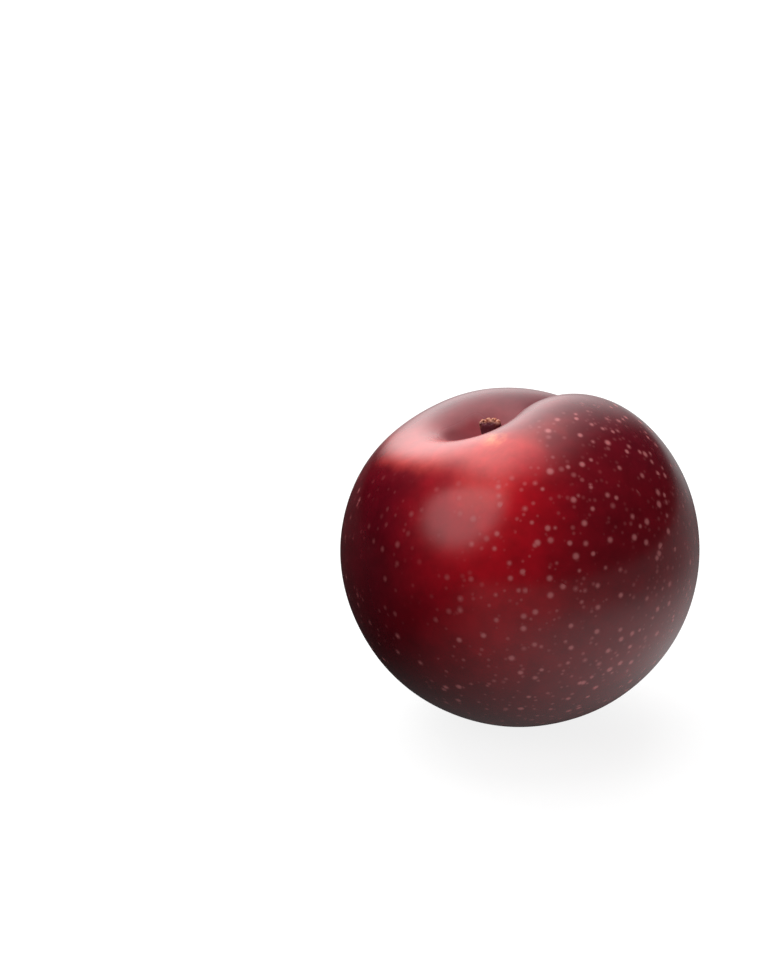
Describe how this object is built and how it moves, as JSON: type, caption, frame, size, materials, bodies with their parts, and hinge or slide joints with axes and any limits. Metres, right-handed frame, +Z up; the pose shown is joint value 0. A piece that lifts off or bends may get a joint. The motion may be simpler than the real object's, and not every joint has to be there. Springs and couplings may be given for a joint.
{
  "type": "plum",
  "caption": "Whole round dark red plum with a stalk hollow, a shallow seam and a short dry stalk stub, resting on a small flat spot.",
  "frame": {"origin": "middle of the small flat spot that the plum rests on", "axes": "+Z up, out of the surface it rests on; the stalk end is on top, leaning about 13 degrees towards -X and 5 towards +Y; -Y faces the viewer of the picture"},
  "size_m": [0.0598, 0.0604, 0.057],
  "materials": {
    "skin": "satin",
    "cork": "matte"
  },
  "bodies": {
    "root": {"fruit": "skin", "stalk_stub": "cork"}
  },
  "joints": []
}
